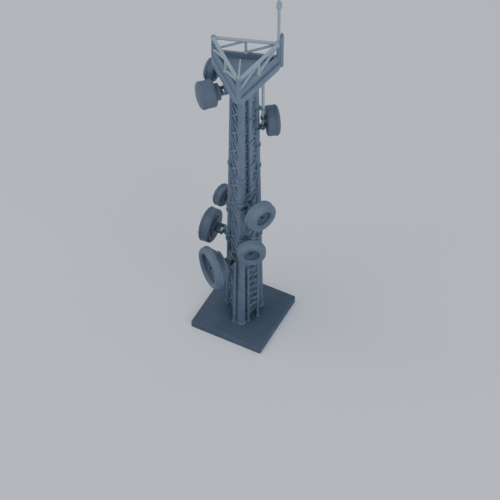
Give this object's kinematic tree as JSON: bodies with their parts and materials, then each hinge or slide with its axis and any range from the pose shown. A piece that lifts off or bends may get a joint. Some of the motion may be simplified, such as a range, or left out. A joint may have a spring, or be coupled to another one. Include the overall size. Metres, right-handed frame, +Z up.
{
  "type": "model radio mast",
  "caption": "Small-scale radio mast: square base, tapered three-legged lattice tower with a ladder, a guarded triangular head with a whip aerial, and drum antennas on tipping mounts.",
  "frame": {"origin": "middle of the base plate's underside", "axes": "+Z up the tower; +X and +Y along the base plate's sides"},
  "size_m": [0.0278, 0.0266, 0.137],
  "materials": {
    "grey_resin": "matt cast or printed resin"
  },
  "bodies": {
    "mast": {"base_plate": "grey_resin", "leg_front": "grey_resin", "leg_right": "grey_resin", "leg_left": "grey_resin", "mast_core": "grey_resin", "braces_front_right": "grey_resin", "braces_rear": "grey_resin", "braces_front_left": "grey_resin", "leg_collars": "grey_resin", "foot_flanges": "grey_resin", "ladder_stiles": "grey_resin", "ladder_rungs": "grey_resin", "ladder_standoffs": "grey_resin", "feeder_conduit": "grey_resin", "cable_duct": "grey_resin", "duct_clips": "grey_resin", "head_collar": "grey_resin", "deck_plate": "grey_resin", "corner_posts": "grey_resin", "top_rails": "grey_resin", "toe_boards": "grey_resin", "mid_posts": "grey_resin", "cage_braces": "grey_resin", "whip_antenna": "grey_resin", "whip_bracket": "grey_resin", "whip_knob": "grey_resin", "lightning_rod": "grey_resin", "drop_pipe": "grey_resin", "upright_pins": "grey_resin", "bracket_a": "grey_resin", "bracket_b": "grey_resin", "bracket_c": "grey_resin", "bracket_d": "grey_resin", "bracket_e": "grey_resin", "bracket_f": "grey_resin", "bracket_g": "grey_resin", "bracket_h": "grey_resin"},
    "yoke_a": {"yoke_a": "grey_resin"},
    "dish_a": {"drum_a": "grey_resin", "radome_a": "grey_resin"},
    "yoke_b": {"yoke_b": "grey_resin"},
    "dish_b": {"drum_b": "grey_resin", "radome_b": "grey_resin"},
    "dish_c": {"drum_c": "grey_resin", "radome_c": "grey_resin"},
    "yoke_d": {"yoke_d": "grey_resin"},
    "dish_d": {"drum_d": "grey_resin", "radome_d": "grey_resin"},
    "yoke_e": {"yoke_e": "grey_resin"},
    "dish_e": {"drum_e": "grey_resin", "radome_e": "grey_resin"},
    "yoke_f": {"yoke_f": "grey_resin"},
    "dish_f": {"drum_f": "grey_resin", "reflector_f": "grey_resin"},
    "yoke_g": {"yoke_g": "grey_resin"},
    "dish_g": {"drum_g": "grey_resin", "reflector_g": "grey_resin"},
    "yoke_h": {"yoke_h": "grey_resin"},
    "dish_h": {"drum_h": "grey_resin", "reflector_h": "grey_resin"}
  },
  "joints": [
    {"name": "pan_a", "type": "hinge", "parent": "mast", "child": "yoke_a", "pos_m": [-0.00706, 0.00322, 0.1029], "axis": [0, 0, 1], "range_deg": [-12, 12]},
    {"name": "tilt_a", "type": "hinge", "parent": "yoke_a", "child": "dish_a", "pos_m": [-0.00913, 0.00302, 0.1029], "axis": [-0.0958, 0.9954, 0], "range_deg": [-10, 3]},
    {"name": "pan_b", "type": "hinge", "parent": "mast", "child": "yoke_b", "pos_m": [-0.004, -0.00166, 0.1024], "axis": [0, 0, 1], "range_deg": [-10, 10]},
    {"name": "tilt_b", "type": "hinge", "parent": "yoke_b", "child": "dish_b", "pos_m": [-0.0056, -0.00336, 0.1024], "axis": [-0.7266, 0.6871, 0], "range_deg": [-8, 8]},
    {"name": "pan_c", "type": "hinge", "parent": "mast", "child": "dish_c", "pos_m": [0.00464, 0.00373, 0.088], "axis": [0, 0, 1], "range_deg": [-12, 12]},
    {"name": "pan_d", "type": "hinge", "parent": "mast", "child": "yoke_d", "pos_m": [-0.00478, 0.0031, 0.0482], "axis": [0, 0, 1], "range_deg": [-12, 7]},
    {"name": "tilt_d", "type": "hinge", "parent": "yoke_d", "child": "dish_d", "pos_m": [-0.00683, 0.00344, 0.0482], "axis": [0.1633, 0.9866, 0], "range_deg": [-10, 10]},
    {"name": "pan_e", "type": "hinge", "parent": "mast", "child": "yoke_e", "pos_m": [-0.00688, 0.00204, 0.0347], "axis": [0, 0, 1], "range_deg": [-12, 6]},
    {"name": "tilt_e", "type": "hinge", "parent": "yoke_e", "child": "dish_e", "pos_m": [-0.00948, 0.00192, 0.0347], "axis": [-0.0454, 0.999, 0], "range_deg": [-8, 8]},
    {"name": "pan_f", "type": "hinge", "parent": "mast", "child": "yoke_f", "pos_m": [0.00399, -0.00326, 0.0569], "axis": [0, 0, 1], "range_deg": [-15, 15]},
    {"name": "tilt_f", "type": "hinge", "parent": "yoke_f", "child": "dish_f", "pos_m": [0.00612, -0.00422, 0.0569], "axis": [-0.4131, -0.9107, 0], "range_deg": [-10, 10]},
    {"name": "pan_g", "type": "hinge", "parent": "mast", "child": "yoke_g", "pos_m": [0.00391, -0.00328, 0.041], "axis": [0, 0, 1], "range_deg": [-8, 12]},
    {"name": "tilt_g", "type": "hinge", "parent": "yoke_g", "child": "dish_g", "pos_m": [0.0052, -0.00523, 0.041], "axis": [-0.8329, -0.5534, 0], "range_deg": [-10, 10]},
    {"name": "pan_h", "type": "hinge", "parent": "mast", "child": "yoke_h", "pos_m": [-0.00266, -0.0038, 0.0284], "axis": [0, 0, 1], "range_deg": [-6, 10]},
    {"name": "tilt_h", "type": "hinge", "parent": "yoke_h", "child": "dish_h", "pos_m": [-0.0039, -0.00547, 0.0284], "axis": [-0.8049, 0.5934, 0], "range_deg": [-8, 8]}
  ]
}
